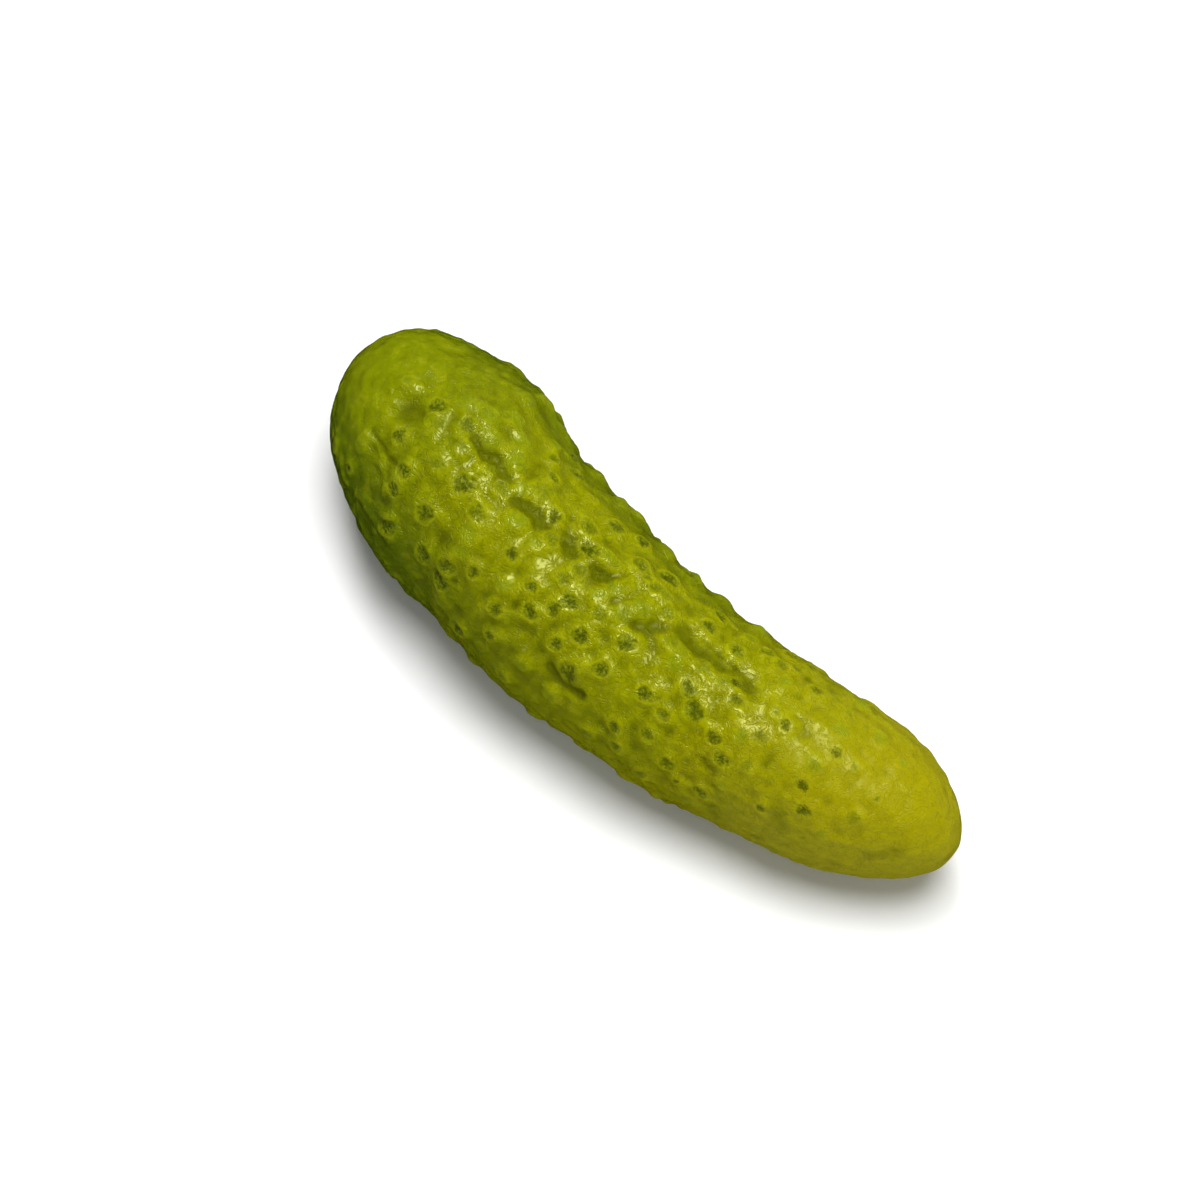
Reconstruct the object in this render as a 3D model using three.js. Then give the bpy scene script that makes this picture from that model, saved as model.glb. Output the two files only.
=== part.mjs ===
import * as THREE from "three";

// A small pickled cucumber, grown as one piece and lying on its side. Millimetres, +Z up. +X runs from
// the blunt stem end to the pointed blossom end, and the hollow side of its bend faces +Y.

// Driving dimensions, in millimetres. A station is a distance along X from the stem end.
const length = 98.9;
const bodyRadius = 11.62;
const stemHalfExtra = 2.1;
const taperFrom = 28.4;
const taperTo = 79.4;
const shoulderSwell = 0.95;
const shoulderStation = 20.9;
const shoulderSpread = 5.6;

// The ends close as quarters of an ellipse, the stem end more bluntly.
const stemCap = { length: 17, bluntness: 2.4 };
const blossomCap = { length: 25, bluntness: 2 };

// The bend is sideways: one long wave, deepest at its station, with the blossom end drifting a little.
const bendDepth = 7.1;
const bendStation = 48.8;
const bendWave = 114;
const bendDrift = 0.026;
const bendOffset = 0.05;

// The underside is pressed flat where it lies, and its relief fades out just above that.
const restDepth = 0.3;
const fadeFrom = 0.05;
const fadeTo = 0.9;

// Slow unevenness of the whole body: three blunt ribs along it, and a slow ripple.
const ribHeight = 0.22;
const ribCount = 3;
const ribTurn = 0.4;
const rippleHeight = 0.2;
const rippleLength = 23;

// Scars at the two ends: a dish with a raised ring round it.
const stemScar = { dish: 0.7, dishRadius: 1.7, ring: 0.3, ringRadius: 3.2 };
const blossomScar = { dish: 0.25, dishRadius: 0.9, ring: 0.08, ringRadius: 2.2 };

// A wart is a low, steep mound with a pit in its middle. Its pit's radius sets its other sizes, and its
// depth is from 0, a plain mound, to 1. Warts are lower toward the blossom end.
const moundBase = 0.9;
const moundPerPit = 0.6;
const moundHeight = 0.4;
const moundHeightPerPit = 0.46;
const moundSteepness = 2.5;
const pitShare = 0.75;
const pitSpread = 0.75;
const wartReach = 6;
const calmFrom = 58;
const calmTo = 86;
const calmLoss = 0.6;

// Warts on the hidden side: how many tries, their closest spacing, and where along the body they grow.
const scatterTries = 2600;
const scatterGap = 3.7;
const scatterFrom = 16;
const scatterTo = 88;
const scatterPitLeast = 0.55;
const scatterPitSpan = 0.85;
const scatterDepthLeast = 0.2;
const scatterSeed = 7;

// Places on the seen side are given as they look from one viewpoint, along the body and across it. The
// line of sight meets the body at this point, at this azimuth from the back of -Y and this elevation, and
// the body's length lies at this turn in that view.
const sightPoint = new THREE.Vector3(48.85, -4.6, 12);
const sightAzimuth = THREE.MathUtils.degToRad(43.2);
const sightElevation = THREE.MathUtils.degToRad(68);
const sightTurn = THREE.MathUtils.degToRad(41);
const sightDistance = 560;
const sightAlong = 48.6;
const sightAcross = -4;
const alongScale = 1.027;
const acrossScale = 0.9925;
const sightSteps = 12;
const seenHalfTurn = THREE.MathUtils.degToRad(96);

// The mesh: how far apart its points are, and how far one moves so that it lies in a pit.
const pointSpacing = 1.22;
const rowShare = Math.sqrt(3) / 2;
const fewestColumns = 6;
const pullReach = 2.5;

// Warts of the seen side: along, across, pit radius, pit depth.
const seenWarts = [
  [7.2, 1.6, 0.6, 0.45], [8.8, 1.7, 0.4, 0.3], [12.0, 1.6, 1.1, 1.0], [14.7, 4.4, 1.2, 0.25],
  [16.5, 2.2, 1.0, 0.6], [17.8, 4.9, 1.0, 0.2], [18.0, -0.3, 0.8, 0.4], [20.7, 6.5, 1.1, 0.25],
  [20.0, 9.5, 1.2, 0.3], [20.1, 2.8, 1.2, 0.3], [22.5, 10.6, 1.3, 0.1], [23.4, 4.9, 1.1, 0.3],
  [24.3, 2.6, 1.3, 0.25], [22.3, 0.1, 0.6, 0.4], [25.2, -0.9, 0.9, 0.4], [27.3, 0.6, 0.9, 0.3],
  [26.3, 9.6, 1.4, 0.35], [28.0, 9.0, 0.8, 0.3], [29.4, 2.1, 1.3, 0.45], [29.2, 4.3, 0.7, 0.6],
  [27.6, 6.0, 0.7, 0.6], [26.6, 7.4, 0.8, 0.2], [29.2, 8.1, 0.9, 0.8], [31.2, 6.7, 0.9, 0.75],
  [33.5, 8.4, 1.4, 0.25], [10.8, -4.1, 1.0, 0.8], [16.8, -3.5, 1.0, 0.5], [21.2, -3.4, 1.4, 0.9],
  [24.8, -5.0, 1.1, 0.6], [29.5, -2.8, 1.1, 0.2], [14.1, -7.0, 1.0, 0.8], [14.6, -9.5, 0.9, 0.8],
  [19.7, -9.3, 1.2, 0.9], [25.8, -7.6, 1.1, 0.2], [29.5, -10.7, 0.8, 0.85], [26.6, -9.8, 0.9, 0.2],
  [26.3, -12.4, 1.1, 0.7], [27.0, -14.4, 1.1, 0.8], [23.0, -13.4, 1.1, 0.9], [17.1, -13.7, 1.2, 0.85],
  [5.4, -10.2, 0.7, 0.6], [7.9, -8.0, 0.8, 0.3], [28.4, -16.2, 1.0, 0.4], [32.6, -17.3, 1.0, 0.8],
  [8.6, -11.1, 0.5, 0.8], [39.5, 4.8, 1.1, 0.8], [43.4, 5.4, 0.9, 0.75], [36.8, 2.5, 1.1, 0.6],
  [32.6, 0.9, 0.9, 0.65], [38.3, 7.4, 1.2, 0.15], [41.2, 7.3, 1.2, 0.25], [38.9, 0.6, 1.1, 0.8],
  [41.0, 1.0, 0.8, 0.35], [42.4, 1.0, 0.7, 0.4], [45.2, 3.0, 1.1, 0.6], [46.8, 2.3, 0.6, 0.5],
  [49.0, 4.3, 1.2, 0.8], [48.7, 2.0, 0.9, 0.5], [50.3, 2.1, 0.6, 0.4], [51.6, 0.8, 0.9, 0.5],
  [48.9, -0.8, 1.1, 0.3], [44.5, -1.2, 0.9, 0.3], [46.6, 6.7, 1.2, 0.15], [34.2, -1.6, 0.9, 0.5],
  [39.5, -2.2, 1.0, 0.5], [47.4, -2.8, 1.0, 0.25], [43.5, -3.0, 0.8, 0.2], [50.9, 6.3, 0.9, 0.6],
  [52.2, 6.6, 1.0, 0.2], [54.5, -1.4, 1.0, 0.4], [56.7, -1.6, 0.6, 0.4], [59.8, -1.1, 0.9, 0.4],
  [63.0, -0.8, 0.9, 0.4], [64.2, 0.1, 0.6, 0.8], [33.1, -3.3, 0.7, 0.3], [31.7, -6.0, 0.8, 0.8],
  [38.9, -4.2, 0.9, 0.55], [45.3, -4.6, 1.0, 0.5], [50.3, -5.1, 1.2, 0.8], [56.8, -3.1, 1.0, 0.2],
  [41.3, -5.9, 1.1, 0.85], [40.3, -7.9, 0.9, 0.7], [36.3, -7.5, 0.7, 0.85], [45.2, -8.1, 1.1, 0.9],
  [50.0, -9.5, 1.0, 0.95], [38.3, -10.0, 1.0, 0.95], [33.7, -9.5, 0.9, 0.2], [43.4, -10.9, 0.9, 0.8],
  [34.7, -12.4, 0.9, 0.75], [47.2, -12.5, 1.4, 0.8], [56.4, -8.3, 1.0, 0.8], [59.9, -8.7, 0.8, 0.6],
  [60.2, -4.3, 1.0, 0.75], [62.6, -5.9, 1.3, 0.9], [60.0, -11.8, 0.9, 0.6], [56.2, -13.7, 0.8, 0.75],
  [53.9, -16.6, 0.8, 0.5], [58.0, -15.4, 0.8, 0.65], [62.6, -16.0, 0.8, 0.55], [57.1, 5.1, 0.9, 0.8],
  [56.0, 6.8, 1.2, 0.15], [56.8, 3.1, 1.0, 0.75], [61.6, 3.1, 1.0, 0.75], [61.9, 5.3, 0.7, 0.4],
  [62.3, 6.8, 1.4, 0.2], [36.3, -15.3, 0.7, 0.65], [41.0, -18.1, 0.8, 0.5], [41.9, -15.7, 0.7, 0.3],
  [47.3, -16.4, 0.8, 0.35], [64.8, 5.3, 0.8, 0.6], [67.2, 5.1, 0.8, 0.55], [67.4, 7.0, 0.8, 0.55],
  [69.0, 6.2, 0.7, 0.5], [70.3, 7.6, 0.7, 0.6], [72.7, 5.7, 0.9, 0.6], [69.0, 4.0, 0.7, 0.25],
  [65.8, -1.6, 1.0, 0.6], [72.7, 0.0, 0.7, 0.9], [70.7, 0.5, 0.5, 0.4], [71.1, -2.9, 1.0, 0.55],
  [69.3, -4.4, 0.8, 0.25], [72.4, -6.6, 0.7, 0.45], [66.7, -6.8, 0.9, 0.9], [69.3, -8.2, 1.0, 0.9],
  [79.3, -4.0, 0.8, 0.85], [78.7, -1.2, 0.9, 0.35], [78.3, 4.2, 0.9, 0.3], [77.8, 6.5, 0.5, 0.4],
  [79.8, 1.7, 0.8, 0.65], [82.8, 1.8, 0.5, 0.4], [81.6, -6.2, 0.9, 0.75], [87.0, -3.0, 0.9, 0.45],
  [77.2, -9.6, 0.6, 0.75], [85.3, -7.1, 0.6, 0.3], [64.3, -13.1, 0.9, 0.65], [70.0, -13.1, 0.9, 0.65],
  [66.7, -14.0, 0.4, 0.6], [69.2, -14.8, 0.8, 0.4], [71.5, -10.6, 0.5, 0.35], [82.9, 6.7, 0.9, 0.3],
  [80.0, 8.8, 0.9, 0.5], [86.3, 8.9, 0.8, 0.4], [75.6, 6.9, 0.5, 0.4], [77.9, 8.6, 1.3, 0.1],
  [87.3, 6.1, 0.5, 0.25], [87.7, 0.7, 0.4, 0.5], [81.8, -12.3, 0.9, 0.4],
];

// Broader forms of the seen side: along, across, radius, and height, which is negative in a hollow.
const seenForms = [
  [9.6, -0.8, 2.3, -0.65], [10.2, -6.4, 2.4, -0.25], [13.2, -0.7, 2.2, 0.4], [22.6, 1.0, 1.6, -0.4],
  [25.0, 7.3, 2.5, 0.3], [28.3, -4.3, 2.8, 0.5], [35.2, 5.3, 2.6, 0.35], [35.2, -4.9, 2.4, 0.45],
  [45.8, 0.2, 1.8, 0.4], [47.8, -10.8, 1.6, 0.5], [65.1, 0.3, 1.9, -0.5], [67.3, -3.9, 2.4, 0.4],
  [71.5, -6.0, 1.6, 0.35], [76.5, -2.2, 2.2, 0.35], [75.0, 0.6, 1.9, -0.3], [74.5, -4.8, 2.5, -0.25],
  [93.6, -2.6, 2.6, -0.25],
];

// Folds of the seen side, each along a path of readings: the furrow down the middle, and two on the flank.
const seenFolds = [
  {
    path: [
      [18.8, 1.3], [21.2, 1.2], [23.2, 0.5], [26.3, -0.4], [30.0, -0.9], [33.0, -0.5], [36.5, -0.6],
      [40.5, -0.95], [43.2, -0.9], [46.2, -2.0], [49.5, -2.4], [52.2, -1.4], [54.2, 0.2], [58.0, -0.2],
      [62.0, 0.3], [65.3, 0.2]
    ],
    width: 1.5,
    height: -0.4
  },
  { path: [[44.8, -13.9], [47.5, -14.2], [50.0, -13.9]], width: 0.8, height: -0.5 },
  { path: [[6.0, -10.6], [9.0, -12.6], [13.0, -13.5], [16.0, -14.5], [19.5, -14.6]], width: 0.9, height: 0.3 }
];

// A number's way from 0 at the first level to 1 at the second, with soft ends.
function rise(from, to, x) {
  return THREE.MathUtils.smoothstep(x, from, to);
}

// A bell of height 1 whose value at its radius is 1 / e, with steeper sides at a higher power.
function bell(distance, radius, power = 2) {
  return Math.exp(-(Math.abs(distance / radius) ** power));
}

// The radius of the body before its ends close: thicker in the stem half, with a swelling near the stem.
function trunkRadius(x) {
  const thicker = stemHalfExtra * (1 - rise(taperFrom, taperTo, x));
  return bodyRadius + thicker + shoulderSwell * bell(x - shoulderStation, shoulderSpread);
}

// How wide an end is at a distance from its tip, as a share: from 0 at the tip to 1 from its length on.
// A bluntness of 2 makes a quarter of an ellipse.
function capShare(distance, cap) {
  const short = Math.max(0, 1 - distance / cap.length);
  return (1 - short * short) ** (1 / cap.bluntness);
}

function endShare(x) {
  return capShare(x, stemCap) * capShare(length - x, blossomCap);
}

function radiusAt(x) {
  return trunkRadius(x) * endShare(x);
}

function sideAt(x) {
  const wave = 1 + Math.cos((2 * Math.PI * (x - bendStation)) / bendWave);
  return bendOffset + bendDrift * (x - bendStation) - (bendDepth / 2) * wave;
}

function heightAt(x) {
  return trunkRadius(x) - restDepth;
}

// The outline of one side as a curve from pole to pole, in stations and radii, denser at its round ends.
const outlineSteps = 80;
const outlinePoints = [];
for (let i = 0; i <= outlineSteps; i++) {
  const x = (length * (1 - Math.cos((Math.PI * i) / outlineSteps))) / 2;
  outlinePoints.push(new THREE.Vector2(x, radiusAt(x)));
}
const outline = new THREE.SplineCurve(outlinePoints);
outline.arcLengthDivisions = 1200;
const outlineLength = outline.getLength();

// A point of the body at a share of its outline and an angle from the top toward +Y, lifted off the
// smooth body by a height square to it.
function bodyPoint(share, angle, lift = 0) {
  const at = outline.getPointAt(share);
  const run = outline.getTangentAt(share);
  const radius = at.y + lift * run.x;
  return new THREE.Vector3(
    at.x - lift * run.y,
    sideAt(at.x) + radius * Math.sin(angle),
    heightAt(at.x) + radius * Math.cos(angle)
  );
}

// The share of the outline at a station, by halving.
function shareAt(x) {
  let low = 0;
  let high = 1;
  for (let i = 0; i < 30; i++) {
    const middle = (low + high) / 2;
    if (outline.getPointAt(middle).x < x) {
      low = middle;
    } else {
      high = middle;
    }
  }
  return low;
}

// A place on the skin with its two directions: along the body and round it.
function placeAt(x, angle) {
  const share = shareAt(x);
  const run = outline.getTangentAt(share);
  const point = bodyPoint(share, angle);
  const along = new THREE.Vector3(run.x, run.y * Math.sin(angle), run.y * Math.cos(angle));
  const round = new THREE.Vector3(0, Math.cos(angle), -Math.sin(angle));
  return { point, along, round };
}

// The view's axes: toward the viewer, along the body and across it.
const towardViewer = new THREE.Vector3(
  Math.sin(sightAzimuth) * Math.cos(sightElevation),
  -Math.cos(sightAzimuth) * Math.cos(sightElevation),
  Math.sin(sightElevation)
);
const viewRight = new THREE.Vector3(Math.cos(sightAzimuth), Math.sin(sightAzimuth), 0);
const viewAlong = viewRight.clone().applyAxisAngle(towardViewer, -sightTurn);
const viewAcross = towardViewer.clone().cross(viewAlong);
const lean = Math.atan2(viewAcross.z, viewAcross.y);

// How a point reads from the viewpoint.
function readingOf(point) {
  const offset = point.clone().sub(sightPoint);
  const nearness = sightDistance / (sightDistance - offset.dot(towardViewer));
  return {
    along: sightAlong + alongScale * nearness * offset.dot(viewAlong),
    across: sightAcross + acrossScale * nearness * offset.dot(viewAcross)
  };
}

// The place that reads so, found by stepping from the middle of the seen side.
function placeSeen(along, across) {
  let x = along;
  let turn = 0;
  for (let i = 0; i < sightSteps; i++) {
    const reading = readingOf(bodyPoint(shareAt(x), Math.asin(turn) - lean));
    x = THREE.MathUtils.clamp(x + along - reading.along, 0, length);
    turn = THREE.MathUtils.clamp(turn + (across - reading.across) / radiusAt(x), -1, 1);
  }
  return placeAt(x, Math.asin(turn) - lean);
}

// Random numbers from 0 to 1, the same ones each time.
let drawState = scatterSeed;
function draw() {
  drawState = (drawState * 1664525 + 1013904223) % 4294967296;
  return drawState / 4294967296;
}

// All the warts: the seen ones, then the hidden ones, kept where nothing else is too near.
const warts = [];
for (const [along, across, pit, depth] of seenWarts) {
  warts.push({ ...placeSeen(along, across), pit, depth });
}
for (let i = 0; i < scatterTries; i++) {
  const x = scatterFrom + (scatterTo - scatterFrom) * draw();
  const angle = 2 * Math.PI * draw() - Math.PI;
  const size = draw();
  const pit = scatterPitLeast + scatterPitSpan * size;
  const view = Math.atan2(Math.sin(angle + lean), Math.cos(angle + lean));
  if (Math.abs(view) > seenHalfTurn) {
    const place = placeAt(x, angle);
    if (warts.every((other) => other.point.distanceTo(place.point) > scatterGap)) {
      warts.push({ ...place, pit, depth: scatterDepthLeast + (1 - scatterDepthLeast) * size });
    }
  }
}
const forms = seenForms.map(([along, across, radius, height]) => {
  return { ...placeSeen(along, across), radius, height };
});
const folds = seenFolds.map(({ path, width, height }) => {
  const places = path.map(([along, across]) => placeSeen(along, across).point);
  const pieces = places.slice(1).map((end, i) => new THREE.Line3(places[i], end));
  return { pieces, width, height };
});

// How far a point is from the nearest of some straight pieces.
function distanceTo(pieces, point) {
  const nearest = new THREE.Vector3();
  const distances = pieces.map((piece) => {
    piece.closestPointToPoint(point, true, nearest);
    return nearest.distanceTo(point);
  });
  return Math.min(...distances);
}

// A scar's height at a distance from its pole.
function scarHeight(scar, distance) {
  const ring = scar.ring * bell(distance - scar.ringRadius, scar.dishRadius);
  return ring - scar.dish * bell(distance, scar.dishRadius);
}

// How high the skin stands at a point of the smooth body.
function reliefAt(share, angle, point) {
  const x = outline.getPointAt(share).x;
  const ends = endShare(x);
  let height = ribHeight * ends * Math.cos(ribCount * angle + ribTurn);
  height += rippleHeight * ends * Math.sin((2 * Math.PI * x) / rippleLength + 2 * angle);
  for (const form of forms) {
    height += form.height * bell(form.point.distanceTo(point), form.radius);
  }
  for (const fold of folds) {
    height += fold.height * bell(distanceTo(fold.pieces, point), fold.width);
  }
  const calm = 1 - calmLoss * rise(calmFrom, calmTo, x);
  for (const wart of warts) {
    const distance = wart.point.distanceTo(point);
    if (distance < wartReach) {
      const mound = calm * (moundHeight + moundHeightPerPit * wart.pit);
      height += mound * bell(distance, moundBase + moundPerPit * wart.pit, moundSteepness);
      height -= mound * pitShare * wart.depth * bell(distance, pitSpread * wart.pit);
    }
  }
  height += scarHeight(stemScar, share * outlineLength);
  height += scarHeight(blossomScar, (1 - share) * outlineLength);
  return height * rise(fadeFrom, fadeTo, point.z);
}

// Rings of points all over the body, each turned half a step from the last, with a pole at each end.
const rows = Math.round(outlineLength / (pointSpacing * rowShare));
const rings = [];
const points = [];
for (let i = 0; i <= rows; i++) {
  const share = i / rows;
  const around = 2 * Math.PI * outline.getPointAt(share).y;
  const pole = i === 0 || i === rows;
  const columns = pole ? 1 : Math.max(fewestColumns, Math.round(around / pointSpacing));
  const turn = (i % 2) / 2;
  rings.push({ first: points.length, columns, turn, steps: pole ? 0 : columns });
  for (let j = 0; j < columns; j++) {
    const angle = (2 * Math.PI * (j + turn)) / columns;
    points.push({ share, angle, pole, base: bodyPoint(share, angle) });
  }
}

// Each wart pulls the nearest point into its pit, and the points near that one follow it part of the way.
const pulls = points.map(() => ({ weight: 0, along: 0, round: 0 }));
for (const wart of warts) {
  let nearest = points[0];
  for (const point of points) {
    if (point.base.distanceTo(wart.point) < nearest.base.distanceTo(wart.point)) {
      nearest = point;
    }
  }
  const step = wart.point.clone().sub(nearest.base);
  points.forEach((point, i) => {
    const near = Math.max(0, 1 - (point.base.distanceTo(nearest.base) / pullReach) ** 2);
    pulls[i].weight += near * near;
    pulls[i].along += near * near * step.dot(wart.along);
    pulls[i].round += near * near * step.dot(wart.round);
  });
}
points.forEach((point, i) => {
  if (!point.pole) {
    const shared = Math.max(1, pulls[i].weight);
    const radius = outline.getPointAt(point.share).y;
    point.share += pulls[i].along / shared / outlineLength;
    point.angle += pulls[i].round / shared / radius;
  }
});

// The skin: every point lifted by the relief, and none below the surface that the body lies on.
const positions = [];
for (const point of points) {
  const base = bodyPoint(point.share, point.angle);
  const skin = bodyPoint(point.share, point.angle, reliefAt(point.share, point.angle, base));
  positions.push(skin.x, skin.y, Math.max(0, skin.z));
}

// The triangles between two rings: the ring whose next point comes first round the body steps on.
function band(left, right) {
  const faces = [];
  let i = 0;
  let j = 0;
  while (i < left.steps || j < right.steps) {
    const leftPoint = left.first + (i % left.columns);
    const rightPoint = right.first + (j % right.columns);
    const leftAngle = (i + 1 + left.turn) / left.columns;
    const rightAngle = (j + 1 + right.turn) / right.columns;
    if (j === right.steps || (i < left.steps && leftAngle <= rightAngle)) {
      i++;
      faces.push(leftPoint, rightPoint, left.first + (i % left.columns));
    } else {
      j++;
      faces.push(leftPoint, rightPoint, right.first + (j % right.columns));
    }
  }
  return faces;
}

const faces = [];
for (let i = 0; i < rows; i++) {
  faces.push(...band(rings[i], rings[i + 1]));
}

const skin = new THREE.BufferGeometry();
skin.setAttribute("position", new THREE.Float32BufferAttribute(positions, 3));
skin.setIndex(faces);

// The origin is under the middle of the body, on the surface that it lies on.
skin.computeBoundingBox();
const middle = skin.boundingBox.getCenter(new THREE.Vector3());
skin.translate(-middle.x, -middle.y, -skin.boundingBox.min.z);
skin.computeVertexNormals();

const green = new THREE.MeshStandardMaterial({ color: 0x969b14, roughness: 0.32, metalness: 0 });
const cucumber = new THREE.Mesh(skin, green);
cucumber.name = "cucumber";

const group = new THREE.Group();
group.add(cucumber);
export default group;
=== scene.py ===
import math
import bpy
import numpy as np
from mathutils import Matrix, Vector


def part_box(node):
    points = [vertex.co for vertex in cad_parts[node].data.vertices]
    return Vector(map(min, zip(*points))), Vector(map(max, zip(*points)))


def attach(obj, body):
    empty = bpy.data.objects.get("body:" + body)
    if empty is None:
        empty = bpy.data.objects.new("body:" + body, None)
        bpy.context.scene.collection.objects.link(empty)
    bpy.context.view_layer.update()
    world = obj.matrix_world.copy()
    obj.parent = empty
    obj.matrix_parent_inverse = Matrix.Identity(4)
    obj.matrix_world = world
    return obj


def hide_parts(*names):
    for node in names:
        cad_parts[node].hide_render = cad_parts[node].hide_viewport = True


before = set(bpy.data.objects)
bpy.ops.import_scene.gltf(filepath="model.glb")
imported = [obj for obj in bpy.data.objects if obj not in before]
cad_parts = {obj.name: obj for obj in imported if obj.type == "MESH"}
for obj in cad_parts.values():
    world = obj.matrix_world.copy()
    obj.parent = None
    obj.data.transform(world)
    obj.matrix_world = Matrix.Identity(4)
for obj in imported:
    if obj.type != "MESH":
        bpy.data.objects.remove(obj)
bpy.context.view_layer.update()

boxLow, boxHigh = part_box("cucumber")
print("frame loaded")

mm = 0.001  # shapes are worked out in millimetres, meshes are in metres

# The body of the fruit, in millimetres. A station is a distance along X from the stem end.
body = {
    "length": 98.9,
    "radius": 11.62,
    "stemHalfExtra": 2.1,
    "taper": (28.4, 79.4),
    "swell": 0.95,
    "swellStation": 20.9,
    "swellSpread": 5.6,
    "stemCap": (17, 2.4),      # length and bluntness, where 2 makes a quarter of an ellipse
    "blossomCap": (25, 2),
    "bendDepth": 7.1,
    "bendStation": 48.8,
    "bendWave": 114,
    "bendDrift": 0.026,
    "bendOffset": 0.05,
    "restDepth": 0.3,      # how much of the underside is pressed flat
    "fade": (0.05, 0.9),   # heights between which the relief comes in
    "ribHeight": 0.22,
    "ribCount": 3,
    "ribTurn": 0.4,
    "rippleHeight": 0.2,
    "rippleLength": 23,
    "outlinePoints": 6001,
    "rows": 376,
    "columns": 260,
}

# Wrinkles of the skin, coarse and fine: height, shortest and longest wave, how many waves, and seed.
wrinkles = [(0.075, 1.6, 4.0, 60, 3), (0.018, 0.8, 1.6, 60, 4)]

# What the colours need to know: how often heights are blurred to find the hollows that get painted shade, how
# much a crease adds to them, and how steep the edges of the stains and of the painted shade among them are.
shading = {"blurs": 45, "creaseShade": 0.5, "stainEdge": 4}

# Scars at the two ends: a dish with a raised ring round it.
stemScar = {"dish": 0.7, "dishRadius": 1.7, "ring": 0.3, "ringRadius": 3.2}
blossomScar = {"dish": 0.25, "dishRadius": 0.9, "ring": 0.08, "ringRadius": 2.2}

# A wart: a mound with a ragged pit and a thin rim round the pit. Warts are lower toward the blossom end.
wart = {
    "base": 0.9,
    "basePerPit": 0.6,
    "height": 0.4,
    "heightPerPit": 0.46,
    "pitShare": 0.85,
    "pitWallAt": 0.85,
    "pitWall": 0.15,       # softness of the pit's wall, as a share of its radius
    "outline": (1.05, 0.1, 0.1, 0.08),  # mean radius, two ovals across each other, and three lobes
    "outlineSeed": 11,
    "steepness": 2.5,
    "rim": 0.025,
    "rimAt": 1.15,
    "rimSpread": 0.28,
    "reach": 6,            # millimetres past which a wart has no relief
    "farPit": 3.0,         # pit radii past which its colour has none
    "calm": (58, 86),      # stations between which the mounds grow lower
    "calmLoss": 0.6,
}

# Warts of the hidden side, by seeded tries.
scatter = {
    "tries": 2600,
    "gap": 3.7,
    "stations": (16, 88),
    "pit": (0.55, 0.85),
    "leastDepth": 0.2,
    "seed": 7,
    "multiplier": 1664525,
    "increment": 1013904223,
    "modulus": 4294967296,
    "hiddenPast": 96,      # degrees from the seen side's middle
}

# Places on the seen side are given as they look from one viewpoint, along the body and across it.
sight = {
    "point": (48.85, -4.6, 12),  # where the line of sight meets the body, as station, side and height
    "azimuth": 43.2,
    "elevation": 68,
    "turn": 41,                  # how the body's length lies in that view
    "distance": 560,
    "along": 48.6,               # the readings at that point
    "across": -4,
    "alongScale": 1.027,
    "acrossScale": 0.9925,
    "steps": 12,
}

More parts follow.
